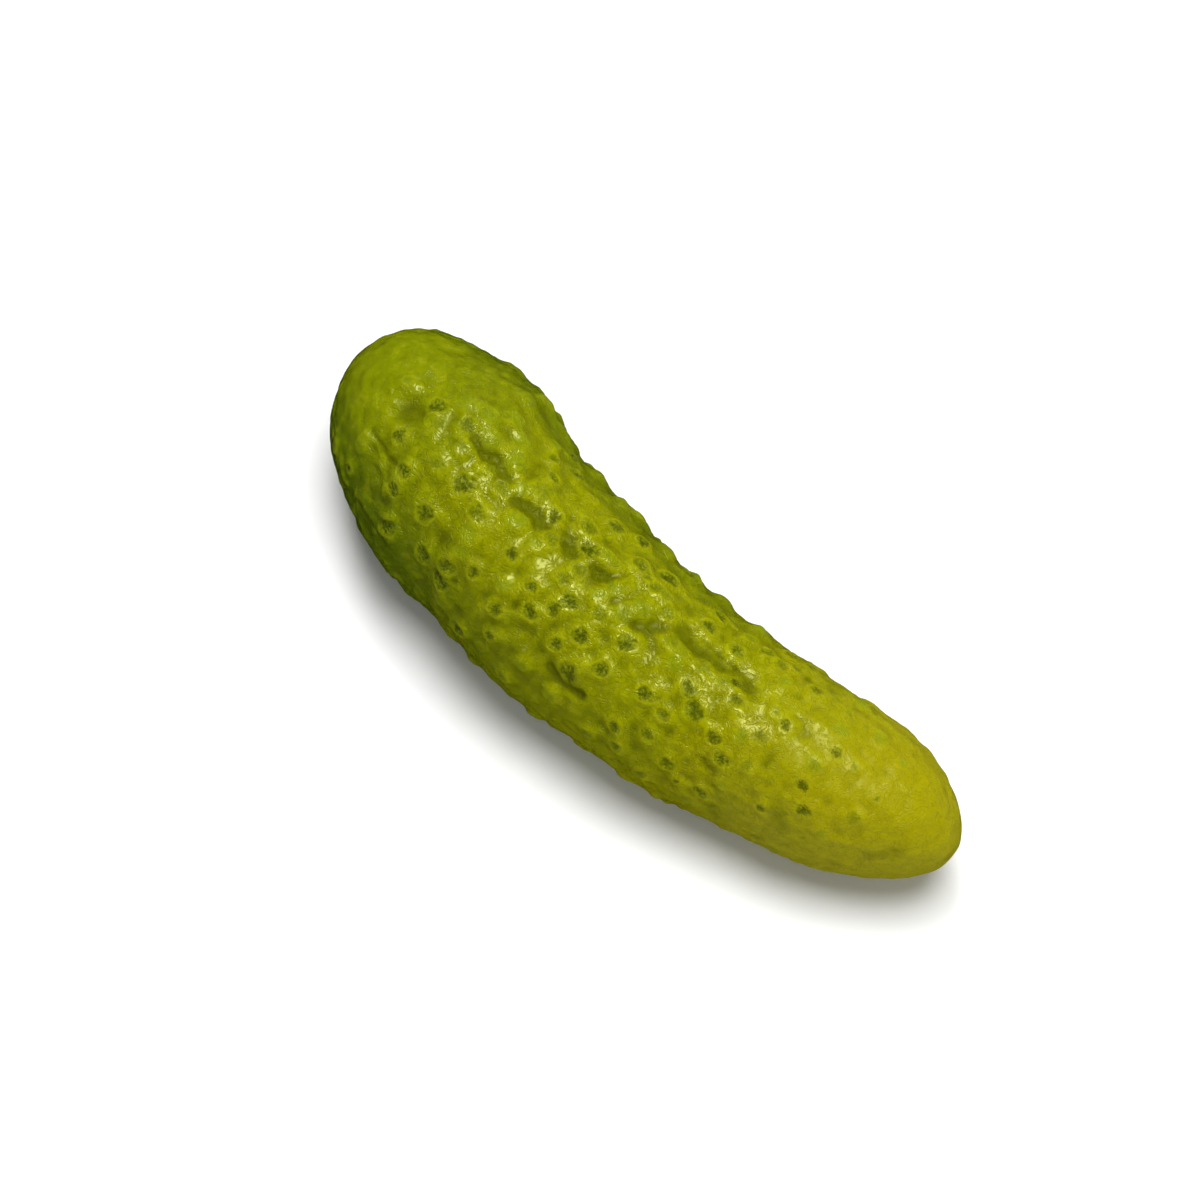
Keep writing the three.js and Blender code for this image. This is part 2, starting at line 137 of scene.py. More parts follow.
# Warts of the seen side: along, across, pit radius, and pit depth from 0, a plain mound, to 1.
seenWarts = [
    (7.2, 1.6, 0.6, 0.45), (8.8, 1.7, 0.4, 0.3), (12.0, 1.6, 1.1, 1.0), (14.7, 4.4, 1.2, 0.25),
    (16.5, 2.2, 1.0, 0.6), (17.8, 4.9, 1.0, 0.2), (18.0, -0.3, 0.8, 0.4), (20.7, 6.5, 1.1, 0.25),
    (20.0, 9.5, 1.2, 0.3), (20.1, 2.8, 1.2, 0.3), (22.5, 10.6, 1.3, 0.1), (23.4, 4.9, 1.1, 0.3),
    (24.3, 2.6, 1.3, 0.25), (22.3, 0.1, 0.6, 0.4), (25.2, -0.9, 0.9, 0.4), (27.3, 0.6, 0.9, 0.3),
    (26.3, 9.6, 1.4, 0.35), (28.0, 9.0, 0.8, 0.3), (29.4, 2.1, 1.3, 0.45), (29.2, 4.3, 0.7, 0.6),
    (27.6, 6.0, 0.7, 0.6), (26.6, 7.4, 0.8, 0.2), (29.2, 8.1, 0.9, 0.8), (31.2, 6.7, 0.9, 0.75),
    (33.5, 8.4, 1.4, 0.25), (10.8, -4.1, 1.0, 0.8), (16.8, -3.5, 1.0, 0.5), (21.2, -3.4, 1.4, 0.9),
    (24.8, -5.0, 1.1, 0.6), (29.5, -2.8, 1.1, 0.2), (14.1, -7.0, 1.0, 0.8), (14.6, -9.5, 0.9, 0.8),
    (19.7, -9.3, 1.2, 0.9), (25.8, -7.6, 1.1, 0.2), (29.5, -10.7, 0.8, 0.85), (26.6, -9.8, 0.9, 0.2),
    (26.3, -12.4, 1.1, 0.7), (27.0, -14.4, 1.1, 0.8), (23.0, -13.4, 1.1, 0.9), (17.1, -13.7, 1.2, 0.85),
    (5.4, -10.2, 0.7, 0.6), (7.9, -8.0, 0.8, 0.3), (28.4, -16.2, 1.0, 0.4), (32.6, -17.3, 1.0, 0.8),
    (8.6, -11.1, 0.5, 0.8), (39.5, 4.8, 1.1, 0.8), (43.4, 5.4, 0.9, 0.75), (36.8, 2.5, 1.1, 0.6),
    (32.6, 0.9, 0.9, 0.65), (38.3, 7.4, 1.2, 0.15), (41.2, 7.3, 1.2, 0.25), (38.9, 0.6, 1.1, 0.8),
    (41.0, 1.0, 0.8, 0.35), (42.4, 1.0, 0.7, 0.4), (45.2, 3.0, 1.1, 0.6), (46.8, 2.3, 0.6, 0.5),
    (49.0, 4.3, 1.2, 0.8), (48.7, 2.0, 0.9, 0.5), (50.3, 2.1, 0.6, 0.4), (51.6, 0.8, 0.9, 0.5),
    (48.9, -0.8, 1.1, 0.3), (44.5, -1.2, 0.9, 0.3), (46.6, 6.7, 1.2, 0.15), (34.2, -1.6, 0.9, 0.5),
    (39.5, -2.2, 1.0, 0.5), (47.4, -2.8, 1.0, 0.25), (43.5, -3.0, 0.8, 0.2), (50.9, 6.3, 0.9, 0.6),
    (52.2, 6.6, 1.0, 0.2), (54.5, -1.4, 1.0, 0.4), (56.7, -1.6, 0.6, 0.4), (59.8, -1.1, 0.9, 0.4),
    (63.0, -0.8, 0.9, 0.4), (64.2, 0.1, 0.6, 0.8), (33.1, -3.3, 0.7, 0.3), (31.7, -6.0, 0.8, 0.8),
    (38.9, -4.2, 0.9, 0.55), (45.3, -4.6, 1.0, 0.5), (50.3, -5.1, 1.2, 0.8), (56.8, -3.1, 1.0, 0.2),
    (41.3, -5.9, 1.1, 0.85), (40.3, -7.9, 0.9, 0.7), (36.3, -7.5, 0.7, 0.85), (45.2, -8.1, 1.1, 0.9),
    (50.0, -9.5, 1.0, 0.95), (38.3, -10.0, 1.0, 0.95), (33.7, -9.5, 0.9, 0.2), (43.4, -10.9, 0.9, 0.8),
    (34.7, -12.4, 0.9, 0.75), (47.2, -12.5, 1.4, 0.8), (56.4, -8.3, 1.0, 0.8), (59.9, -8.7, 0.8, 0.6),
    (60.2, -4.3, 1.0, 0.75), (62.6, -5.9, 1.3, 0.9), (60.0, -11.8, 0.9, 0.6), (56.2, -13.7, 0.8, 0.75),
    (53.9, -16.6, 0.8, 0.5), (58.0, -15.4, 0.8, 0.65), (62.6, -16.0, 0.8, 0.55), (57.1, 5.1, 0.9, 0.8),
    (56.0, 6.8, 1.2, 0.15), (56.8, 3.1, 1.0, 0.75), (61.6, 3.1, 1.0, 0.75), (61.9, 5.3, 0.7, 0.4),
    (62.3, 6.8, 1.4, 0.2), (36.3, -15.3, 0.7, 0.65), (41.0, -18.1, 0.8, 0.5), (41.9, -15.7, 0.7, 0.3),
    (47.3, -16.4, 0.8, 0.35), (64.8, 5.3, 0.8, 0.6), (67.2, 5.1, 0.8, 0.55), (67.4, 7.0, 0.8, 0.55),
    (69.0, 6.2, 0.7, 0.5), (70.3, 7.6, 0.7, 0.6), (72.7, 5.7, 0.9, 0.6), (69.0, 4.0, 0.7, 0.25),
    (65.8, -1.6, 1.0, 0.6), (72.7, 0.0, 0.7, 0.9), (70.7, 0.5, 0.5, 0.4), (71.1, -2.9, 1.0, 0.55),
    (69.3, -4.4, 0.8, 0.25), (72.4, -6.6, 0.7, 0.45), (66.7, -6.8, 0.9, 0.9), (69.3, -8.2, 1.0, 0.9),
    (79.3, -4.0, 0.8, 0.85), (78.7, -1.2, 0.9, 0.35), (78.3, 4.2, 0.9, 0.3), (77.8, 6.5, 0.5, 0.4),
    (79.8, 1.7, 0.8, 0.65), (82.8, 1.8, 0.5, 0.4), (81.6, -6.2, 0.9, 0.75), (87.0, -3.0, 0.9, 0.45),
    (77.2, -9.6, 0.6, 0.75), (85.3, -7.1, 0.6, 0.3), (64.3, -13.1, 0.9, 0.65), (70.0, -13.1, 0.9, 0.65),
    (66.7, -14.0, 0.4, 0.6), (69.2, -14.8, 0.8, 0.4), (71.5, -10.6, 0.5, 0.35), (82.9, 6.7, 0.9, 0.3),
    (80.0, 8.8, 0.9, 0.5), (86.3, 8.9, 0.8, 0.4), (75.6, 6.9, 0.5, 0.4), (77.9, 8.6, 1.3, 0.1),
    (87.3, 6.1, 0.5, 0.25), (87.7, 0.7, 0.4, 0.5), (81.8, -12.3, 0.9, 0.4),
]

# Broader forms of the seen side: along, across, radius, and height, negative in a hollow.
seenForms = [
    (9.6, -0.8, 2.3, -0.65), (10.2, -6.4, 2.4, -0.25), (13.2, -0.7, 2.2, 0.4), (22.6, 1.0, 1.6, -0.4),
    (25.0, 7.3, 2.5, 0.3), (28.3, -4.3, 2.8, 0.5), (35.2, 5.3, 2.6, 0.35), (35.2, -4.9, 2.4, 0.45),
    (45.8, 0.2, 1.8, 0.4), (47.8, -10.8, 1.6, 0.5), (65.1, 0.3, 1.9, -0.5), (67.3, -3.9, 2.4, 0.4),
    (71.5, -6.0, 1.6, 0.35), (76.5, -2.2, 2.2, 0.35), (75.0, 0.6, 1.9, -0.3), (74.5, -4.8, 2.5, -0.25),
    (93.6, -2.6, 2.6, -0.25),
]

# Folds of the seen side, each along a path of readings: path, width, height. The furrow comes first, then
# two broad folds of the flank, then fine creases and lines.
seenFolds = [
    ([(18.8, 1.3), (21.2, 1.2), (23.2, 0.5), (26.3, -0.4), (30.0, -0.9), (33.0, -0.5), (36.5, -0.6),
      (40.5, -0.95), (43.2, -0.9), (46.2, -2.0), (49.5, -2.4), (52.2, -1.4), (54.2, 0.2), (58.0, -0.2),
      (62.0, 0.3), (65.3, 0.2)], 1.5, -0.4),
    ([(44.8, -13.9), (47.5, -14.2), (50.0, -13.9)], 0.8, -0.5),
    ([(6.0, -10.6), (9.0, -12.6), (13.0, -13.5), (16.0, -14.5), (19.5, -14.6)], 0.9, 0.3),
    ([(16.3, 0.2), (17.4, 0.7), (18.6, 0.8), (19.9, 0.2), (21.2, -1.1)], 0.4, 0.3),
    ([(7.6, -5.8), (9.6, -6.4), (11.4, -7.2), (12.8, -7.1)], 0.3, -0.3),
    ([(7.2, -6.4), (9.4, -7.0), (10.8, -7.7)], 0.3, 0.2),
    ([(10.4, -8.5), (12.0, -8.8), (13.4, -9.8), (14.2, -11.2)], 0.4, 0.3),
    ([(5.3, -4.6), (6.2, -6.0)], 0.25, -0.15),
    ([(5.8, -0.2), (7.4, -1.5)], 0.25, 0.12),
    ([(7.0, 7.2), (10.0, 7.7), (12.5, 8.0), (15.3, 8.6)], 0.2, 0.1),
    ([(8.0, 3.2), (8.4, 6.2)], 0.2, 0.06),
    ([(12.2, -13.7), (13.8, -14.3), (15.4, -14.7)], 0.35, -0.35),
    ([(14.0, -15.3), (17.0, -16.4), (20.0, -17.0), (22.0, -17.8)], 0.5, 0.25),
    ([(20.4, -14.2), (22.6, -14.8), (26.0, -15.4), (29.0, -16.6)], 0.3, 0.15),
    ([(25.9, -13.9), (27.2, -13.6), (28.4, -13.3)], 0.35, -0.3),
    ([(44.5, -6.5), (47.0, -5.3), (49.3, -4.2)], 0.25, 0.12),
    ([(52.5, -8.2), (55.0, -6.2), (57.0, -5.3)], 0.25, 0.1),
    ([(57.0, 1.7), (60.0, 1.5), (63.0, 1.6)], 0.3, -0.15),
    ([(55.5, -0.6), (59.0, -1.9), (61.5, -2.2)], 0.3, 0.12),
    ([(62.4, -11.0), (65.0, -10.0), (67.6, -9.4)], 0.25, 0.1),
    ([(78.6, -6.5), (80.3, -5.8)], 0.25, 0.12),
    ([(72.0, 1.8), (74.5, 2.9), (77.0, 3.2)], 0.35, 0.14),
    ([(93.5, 7.5), (96.0, 5.6), (96.9, 3.0), (96.4, 0.0), (94.6, -2.6), (93.0, -3.4)], 0.4, -0.07),
]

# Stains of the seen side, and painted shade in the hollow near station 10 and under the blossom tip from
# station 92: along, across, radius, and strength.
seenStains = [
    (1.6, 3.1, 0.45, 1.0), (11.2, 10.3, 0.5, 0.7), (10.2, -1.0, 1.8, 0.7), (83.8, -9.0, 0.3, 1.0),
    (79.0, -8.6, 1.2, 0.6), (80.2, -9.3, 1.3, 0.6), (81.3, -9.9, 1.0, 0.6), (80.0, -8.2, 0.4, 0.9),
    (93.2, -4.2, 0.9, 0.5), (94.6, -2.8, 0.8, 0.5), (92.0, -5.4, 1.0, 0.5),
]


# A cubic step from 0 at the first level to 1 at the second.
def rise(low, high, x):
    t = np.clip((x - low) / (high - low), 0, 1)
    return t * t * (3 - 2 * t)


# exp(-(distance / radius)^power): a bell, with a flatter top and steeper sides at a higher power.
def bell(distance, radius, power=2):
    return np.exp(-np.abs(distance / radius) ** power)


# A fall from 1 to 0 round x = 0: 1 / (1 + exp(x)), with x kept where exp has no overflow.
def fall(x):
    return 1 / (1 + np.exp(np.clip(x, -30, 30)))


# Base radius, plus the stem half's extra until the taper, plus a bell at the swelling.
def trunkRadius(x):
    thicker = body["stemHalfExtra"] * (1 - rise(*body["taper"], x))
    return body["radius"] + thicker + body["swell"] * bell(x - body["swellStation"], body["swellSpread"])


# An end's width as a share, 0 at the tip and 1 from its length on:
# (1 - (1 - distance / length)^2)^(1 / bluntness).
def capShare(distance, capLength, bluntness):
    short = np.clip(1 - distance / capLength, 0, 1)
    return (1 - short * short) ** (1 / bluntness)


# Both ends' shares, multiplied.
def endShare(x):
    return capShare(x, *body["stemCap"]) * capShare(body["length"] - x, *body["blossomCap"])


# One cosine wave sideways, deepest at its station, plus a slow drift.
def sideAt(x):
    wave = 1 + np.cos(2 * math.pi * (x - body["bendStation"]) / body["bendWave"])
    drift = body["bendDrift"] * (x - body["bendStation"])
    return body["bendOffset"] + drift - body["bendDepth"] / 2 * wave


# The height of the middle line: the radius, less what is pressed flat.
def heightAt(x):
    return trunkRadius(x) - body["restDepth"]


# The outline of one side from pole to pole, as tables over its arc length.
outlineX = body["length"] * (1 - np.cos(np.linspace(0, math.pi, body["outlinePoints"]))) / 2
outlineR = trunkRadius(outlineX) * endShare(outlineX)
outlineArc = np.concatenate([[0], np.cumsum(np.hypot(np.diff(outlineX), np.diff(outlineR)))])
outlineLength = outlineArc[-1]
outlineRunX = np.gradient(outlineX, outlineArc)
outlineRunR = np.gradient(outlineR, outlineArc)


# The body at an arc length and an angle from the top toward +Y, lifted square to the smooth body:
# station and radius from the outline, bent sideways and raised to lie on the surface.
def bodyPoint(arc, angle, lift=0):
    x = np.interp(arc, outlineArc, outlineX)
    runX = np.interp(arc, outlineArc, outlineRunX)
    runR = np.interp(arc, outlineArc, outlineRunR)
    radius = np.interp(arc, outlineArc, outlineR) + lift * runX
    y = sideAt(x) + radius * np.sin(angle)
    z = heightAt(x) + radius * np.cos(angle)
    return np.stack([x - lift * runR, y, z], axis=-1)


# A place on the skin, with its directions along the body and round it.
def placeAt(x, angle):
    arc = np.interp(x, outlineX, outlineArc)
    runX = np.interp(arc, outlineArc, outlineRunX)
    runR = np.interp(arc, outlineArc, outlineRunR)
    return {
        "point": bodyPoint(arc, angle),
        "along": np.array([runX, runR * math.sin(angle), runR * math.cos(angle)]),
        "round": np.array([0, math.cos(angle), -math.sin(angle)]),
    }


# The view's axes: toward the viewer, and right and up in the picture.
def viewAxes(azimuth, elevation):
    a, e = math.radians(azimuth), math.radians(elevation)
    back = np.array([math.sin(a) * math.cos(e), -math.cos(a) * math.cos(e), math.sin(e)])
    right = np.array([math.cos(a), math.sin(a), 0])
    return back, right, np.cross(back, right)


back, right, up = viewAxes(sight["azimuth"], sight["elevation"])
sightTurn = math.radians(sight["turn"])
viewAlong = right * math.cos(sightTurn) - up * math.sin(sightTurn)
viewAcross = right * math.sin(sightTurn) + up * math.cos(sightTurn)
lean = math.atan2(viewAcross[2], viewAcross[1])


# How a point reads from the viewpoint: its offset along each axis, larger where it is nearer.
def readingOf(point):
    offset = point - np.array(sight["point"])
    nearness = sight["distance"] / (sight["distance"] - offset @ back)
    along = sight["along"] + sight["alongScale"] * nearness * (offset @ viewAlong)
    across = sight["across"] + sight["acrossScale"] * nearness * (offset @ viewAcross)
    return along, across


# The place that reads so, found by stepping from the middle of the seen side.
def placeSeen(along, across):
    x, turn = along, 0
    for step in range(sight["steps"]):
        arc = np.interp(x, outlineX, outlineArc)
        readAlong, readAcross = readingOf(bodyPoint(arc, math.asin(turn) - lean))
        x = min(body["length"], max(0, x + along - readAlong))
        radius = float(trunkRadius(x) * endShare(x))
        turn = min(1, max(-1, turn + (across - readAcross) / radius))
    return placeAt(x, math.asin(turn) - lean)


# All warts: the seen ones, then hidden ones drawn by a linear congruential rule and kept where there is room.
def makeWarts():
    warts = []
    for along, across, pit, depth in seenWarts:
        warts.append({**placeSeen(along, across), "pit": pit, "depth": depth})
    state = scatter["seed"]
    draws = []
    for i in range(3 * scatter["tries"]):
        state = (state * scatter["multiplier"] + scatter["increment"]) % scatter["modulus"]
        draws.append(state / scatter["modulus"])
    low, high = scatter["stations"]
    leastPit, pitSpan = scatter["pit"]
    leastDepth = scatter["leastDepth"]
    for stationDraw, angleDraw, sizeDraw in zip(draws[0::3], draws[1::3], draws[2::3]):
        angle = 2 * math.pi * angleDraw - math.pi
        fromMiddle = math.atan2(math.sin(angle + lean), math.cos(angle + lean))
        if abs(fromMiddle) <= math.radians(scatter["hiddenPast"]):
            continue
        place = placeAt(low + (high - low) * stationDraw, angle)
        if all(np.linalg.norm(other["point"] - place["point"]) > scatter["gap"] for other in warts):
            depth = leastDepth + (1 - leastDepth) * sizeDraw
            warts.append({**place, "pit": leastPit + pitSpan * sizeDraw, "depth": depth})
    return warts


warts = makeWarts()
print("warts:", len(warts))


# Even noise of height about 1: the sum of plane waves of random direction and phase, in a band of
# wavelengths.
def waveNoise(points, shortest, longest, count, seed):
    draw = np.random.default_rng(seed)
    total = np.zeros(points.shape[:-1])
    for i in range(count):
        direction = draw.normal(size=3)
        direction /= np.linalg.norm(direction)
        length = draw.uniform(shortest, longest)
        total += np.sin(points @ direction * 2 * math.pi / length + draw.uniform(0, 2 * math.pi))
    return total * math.sqrt(2 / count)


# A scar's height at a distance from its pole.
def scarHeight(scar, distance):
    ring = scar["ring"] * bell(distance - scar["ringRadius"], scar["dishRadius"])
    return ring - scar["dish"] * bell(distance, scar["dishRadius"])


# How far points are from the nearest of the straight pieces of a path.
def distanceToPath(points, path):
    nearest = np.full(points.shape[:-1], np.inf)
    for start, end in zip(path[:-1], path[1:]):
        step = end - start
        share = np.clip((points - start) @ step / (step @ step), 0, 1)
        nearest = np.minimum(nearest, np.linalg.norm(points - start - share[..., None] * step, axis=-1))
    return nearest


# Each value moved to the mean of itself and its four neighbours, many times over.
def blur(grid, times):
    for i in range(times):
        before = np.concatenate([grid[:1], grid[:-1]])
        after = np.concatenate([grid[1:], grid[-1:]])
        grid = (grid + before + after + np.roll(grid, 1, axis=1) + np.roll(grid, -1, axis=1)) / 5
    return grid


# All the warts' relief: a mound is a bell of the distance, its pit a fall at a ragged radius, and its rim a
# thin bell just outside. For each point also where it lies in its nearest wart, counted in pit radii.
def makeWartRelief(x, points):
    height = np.zeros(points.shape[:-1])
    closest = np.full(points.shape[:-1], wart["farPit"])
    inPit = np.zeros(points.shape)
    depths = np.zeros(points.shape[:-1])
    seeds = np.zeros(points.shape[:-1])
    mean, oval, slant, lobes = wart["outline"]
    draw = np.random.default_rng(wart["outlineSeed"])
    calm = 1 - wart["calmLoss"] * rise(*wart["calm"], x)
    for number, one in enumerate(warts):
        offset = points - one["point"]
        distance = np.linalg.norm(offset, axis=-1)
        phases = draw.uniform(0, 2 * math.pi, 3)
        near = distance < wart["reach"]
        offset, distance, pit = offset[near], distance[near], one["pit"]
        along, across = offset @ one["along"] / pit, offset @ one["round"] / pit
        turn = np.arctan2(across, along)
        ragged = mean + oval * np.cos(2 * turn) + slant * np.sin(2 * turn + phases[0])
        ragged += lobes * np.sin(3 * turn + phases[1])
        share = distance / (pit * ragged)
        mound = calm[near] * (wart["height"] + wart["heightPerPit"] * pit)
        wall = fall((share - wart["pitWallAt"]) / wart["pitWall"])
        height[near] += mound * bell(distance, wart["base"] + wart["basePerPit"] * pit, wart["steepness"])
        height[near] -= mound * wart["pitShare"] * one["depth"] * wall
        height[near] += wart["rim"] * one["depth"] * bell(share - wart["rimAt"], wart["rimSpread"])
        nearer = share < closest[near]
        chosen = tuple(index[nearer] for index in np.nonzero(near))
        closest[chosen] = share[nearer]
        inPit[chosen] = np.stack([along, across, 0 * along], axis=-1)[nearer] / ragged[nearer, None]
        depths[chosen] = one["depth"]
        seeds[chosen] = number
    return height, closest, inPit, depths, seeds


# The relief of the skin is the sum of ribs, a ripple, broad forms, folds, warts, scars and wrinkles, faded out
# just above the flat underside. With it comes what the colours need to know, over the same grid.
def makeRelief(arc, angle, points):
    x = np.interp(arc, outlineArc, outlineX)
    ends = endShare(x)
    height = body["ribHeight"] * ends * np.cos(body["ribCount"] * angle + body["ribTurn"])
    height += body["rippleHeight"] * ends * np.sin(2 * math.pi * x / body["rippleLength"] + 2 * angle)
    for along, across, radius, lift in seenForms:
        distance = np.linalg.norm(points - placeSeen(along, across)["point"], axis=-1)
        height += lift * bell(distance, radius)
    creased = np.zeros(x.shape)
    for path, width, lift in seenFolds:
        places = [placeSeen(along, across)["point"] for along, across in path]
        fold = bell(distanceToPath(points, places), width)
        height += lift * fold
        creased += max(0, -lift) * fold
    wartHeight, closest, inPit, depths, seeds = makeWartRelief(x, points)
    height += wartHeight
    for scar, distance in ((stemScar, arc), (blossomScar, outlineLength - arc)):
        height += scarHeight(scar, distance)
    for lift, shortest, longest, count, seed in wrinkles:
        height += lift * ends * waveNoise(points, shortest, longest, count, seed)
    height *= rise(*body["fade"], points[..., 2])
    # Stains, and painted shade in the hollow near the stem end and under the blossom tip.
    stain = np.zeros(x.shape)
    for along, across, radius, strength in seenStains:
        distance = np.linalg.norm(points - placeSeen(along, across)["point"], axis=-1)
        stain = np.maximum(stain, strength * bell(distance, radius, shading["stainEdge"]))
    fields = {
        "alongBody": x / body["length"],
        "flank": np.sin(angle + lean),        # from -1 on the flank below the line of sight to 1 above it
        # Above 0 where the skin lies lower than the skin round it, and in the creases; the colours paint shade
        # there.
        "hollow": blur(height, shading["blurs"]) - height + shading["creaseShade"] * creased,
        "pitReach": closest,                  # the distance from the nearest pit's middle, in pit radii
        "stain": stain,
        "pitDepth": depths,
        "pitSeed": seeds,
        "inPit": inPit,
    }
    return height, fields


# A closed grid: rings of points between two single poles, rows along the outline and columns round it.
def makeCucumber():
    rows, columns = body["rows"], body["columns"]
    arc, angle = np.meshgrid(
        np.linspace(0, outlineLength, rows + 1),
        np.linspace(0, 2 * math.pi, columns, endpoint=False),
        indexing="ij",
    )
    smooth = bodyPoint(arc, angle)
    height, fields = makeRelief(arc, angle, smooth)
    skin = bodyPoint(arc, angle, height)
    skin[..., 2] = np.maximum(skin[..., 2], 0)

    def flat(grid):  # one value for each pole, and all of the rings between
        rings = grid[1:-1].reshape(-1, *grid.shape[2:])
        return np.concatenate([[grid[0].mean(axis=0)], rings, [grid[-1].mean(axis=0)]])

    points = flat(skin)
    low, high = points.min(axis=0), points.max(axis=0)
    middle = np.array([(low[0] + high[0]) / 2, (low[1] + high[1]) / 2, low[2]])
    target = np.array([(boxLow.x + boxHigh.x) / 2, (boxLow.y + boxHigh.y) / 2, boxLow.z])
    points = (points - middle) * mm + target

    ring = np.arange(columns)
    following = (ring + 1) % columns
    starts = 1 + columns * np.arange(rows - 2)[:, None]
    onward = starts + columns
    quads = np.stack([starts + ring, onward + ring, onward + following, starts + following], axis=-1)
    last = 1 + columns * (rows - 2)
    stemFan = np.stack([np.zeros_like(ring), 1 + ring, 1 + following], axis=-1)
    blossomFan = np.stack([last + ring, np.full_like(ring, len(points) - 1), last + following], axis=-1)
    faces = quads.reshape(-1, 4).tolist() + stemFan.tolist() + blossomFan.tolist()

    mesh = bpy.data.meshes.new("cucumberSkin")
    mesh.from_pydata(points.tolist(), [], faces)
    mesh.polygons.foreach_set("use_smooth", np.ones(len(mesh.polygons), dtype=bool))
    for name, grid in fields.items():
        vector = grid.ndim == 3
        attribute = mesh.attributes.new(name, "FLOAT_VECTOR" if vector else "FLOAT", "POINT")
        attribute.data.foreach_set("vector" if vector else "value", flat(grid).astype(np.float32).ravel())
    mesh.update()
    piece = bpy.data.objects.new("cucumber_skin", mesh)
    bpy.context.scene.collection.objects.link(piece)
    sightPoint = (np.array(sight["point"]) - middle) * mm + target
    return piece, Vector(sightPoint)


# A socket of a shader. Arithmetic on it adds Math nodes, and addNode() adds any other kind.
class Wire:
    def __init__(self, tree, socket):
        self.tree = tree
        self.socket = socket

    def math(self, operation, first, second):
        return addNode(self.tree, "ShaderNodeMath", {"operation": operation}, {0: first, 1: second})

    def __add__(self, other):
        return self.math("ADD", self, other)

    def __sub__(self, other):
        return self.math("SUBTRACT", self, other)

    def __mul__(self, other):
        return self.math("MULTIPLY", self, other)

    def __rsub__(self, other):
        return self.math("SUBTRACT", other, self)

    __radd__ = __add__
    __rmul__ = __mul__


# One node: its settings first, then the values or links of its sockets.
def addNode(tree, kind, settings, sockets, output=0):
    node = tree.nodes.new(kind)
    for name, value in settings.items():
        setattr(node, name, value)
    for key, value in sockets.items():
        if isinstance(value, Wire):
            tree.links.new(value.socket, node.inputs[key])
        else:
            node.inputs[key].default_value = value
    return Wire(tree, node.outputs[output]) if node.outputs else None


# An sRGB colour, 0 to 255, as the linear one that shaders take.
def paint(red, green, blue):
    def linear(level):
        share = level / 255
        return share / 12.92 if share <= 0.04045 else ((share + 0.055) / 1.055) ** 2.4
    return (linear(red), linear(green), linear(blue), 1)


# The first colour where the share is 0, the second where it is 1, and a mix between.
def mixColours(tree, share, first, second):
    settings = {"data_type": "RGBA", "clamp_factor": True}
    return addNode(tree, "ShaderNodeMix", settings, {0: share, 6: first, 7: second}, 2)


# A number's way from 0 at the first level to 1 at the second, with soft ends.
def stepUp(tree, value, low, high):
    settings = {"interpolation_type": "SMOOTHSTEP"}
    return addNode(tree, "ShaderNodeMapRange", settings, {"Value": value, "From Min": low, "From Max": high})


